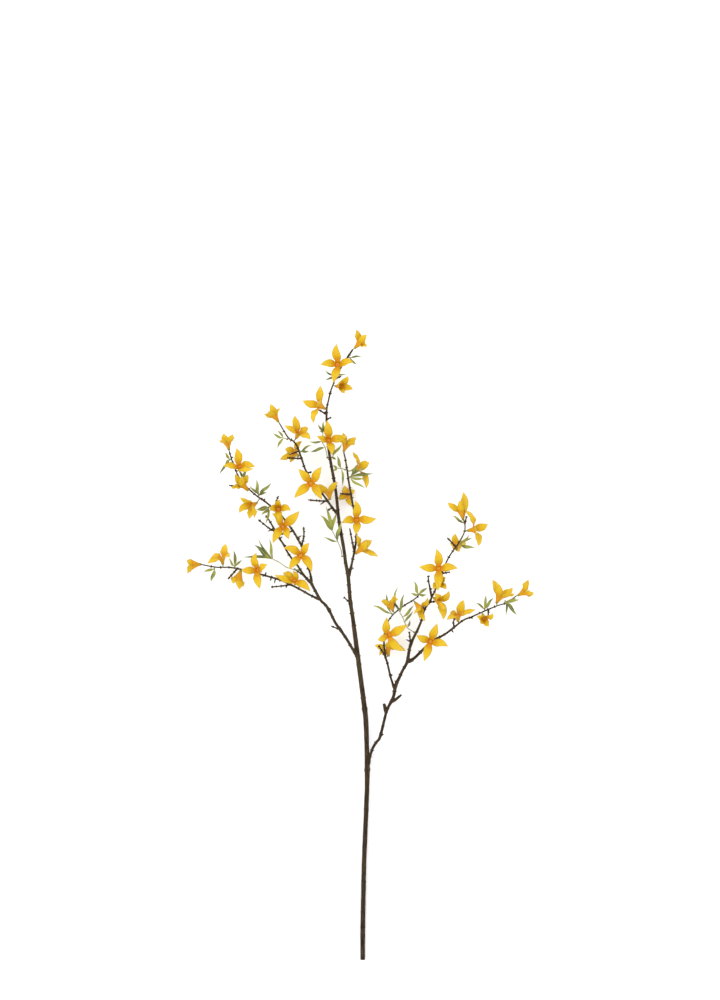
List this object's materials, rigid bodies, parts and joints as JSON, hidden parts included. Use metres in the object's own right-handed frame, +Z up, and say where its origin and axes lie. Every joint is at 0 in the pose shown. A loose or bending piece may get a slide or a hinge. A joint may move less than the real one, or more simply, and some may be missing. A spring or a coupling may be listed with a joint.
{
  "type": "forsythia branch",
  "caption": "Cut flowering branch with a long bare stem, two side boughs and fine twigs, set with open four-petalled yellow blooms and sprays of narrow young leaves; lies flat.",
  "frame": {"origin": "the flat on the underside of the stem just above its cut end, where it rests on the table", "axes": "+Y from the cut end to the tip, the longest way; +X to the right as the branch is seen from above; +Z up, away from the table"},
  "size_m": [0.4153, 0.757, 0.0582],
  "materials": {
    "bark": "dark brown bark, matt, with an olive cast on the older stem",
    "petal": "golden yellow petal, soft and matt, orange towards the throat",
    "leaf": "young olive green leaf, satin"
  },
  "bodies": {
    "root": {"bloom_01": "petal", "bloom_02": "petal", "bloom_03": "petal", "bloom_04": "petal", "bloom_05_06": "petal", "bloom_08_09": "petal", "bloom_10": "petal", "bloom_11": "petal", "bloom_12": "petal", "bloom_13": "petal", "bloom_14": "petal", "bloom_15": "petal", "bloom_16": "petal", "bloom_20_21": "petal", "bloom_22": "petal", "bloom_23": "petal", "bloom_25_26": "petal", "bloom_27": "petal", "bloom_28": "petal", "bloom_29_30": "petal", "bloom_31": "petal", "bloom_32": "petal", "bloom_33": "petal", "bloom_34": "petal", "bloom_35": "petal", "bloom_36": "petal", "bloom_37": "petal", "bloom_38": "petal", "bloom_39a": "petal", "bloom_39b_39c": "petal", "bloom_40": "petal", "bloom_41": "petal", "bloom_42": "petal", "bloom_43": "petal", "bloom_44": "petal", "bloom_45": "petal", "leaves_a_high": "leaf", "leaves_a_low": "leaf", "leaves_c_mid": "leaf", "leaves_c_spray": "leaf", "leaves_c_tip": "leaf", "leaves_d_mid": "leaf", "leaves_d_tip": "leaf", "leaves_h_long": "leaf", "leaves_h_low": "leaf", "leaves_h_tip": "leaf", "leaves_j_tip": "leaf", "leaves_k_high": "leaf", "leaves_k_mid": "leaf", "leaves_k_tip": "leaf", "leaves_long_left": "leaf", "leaves_r_left": "leaf", "leaves_r_right": "leaf", "leaves_right_high": "leaf", "leaves_right_top": "leaf", "leaves_stem_left": "leaf", "leaves_stem_right": "leaf", "leaves_tip": "leaf", "leaves_top": "leaf", "wood": "bark"}
  },
  "joints": []
}
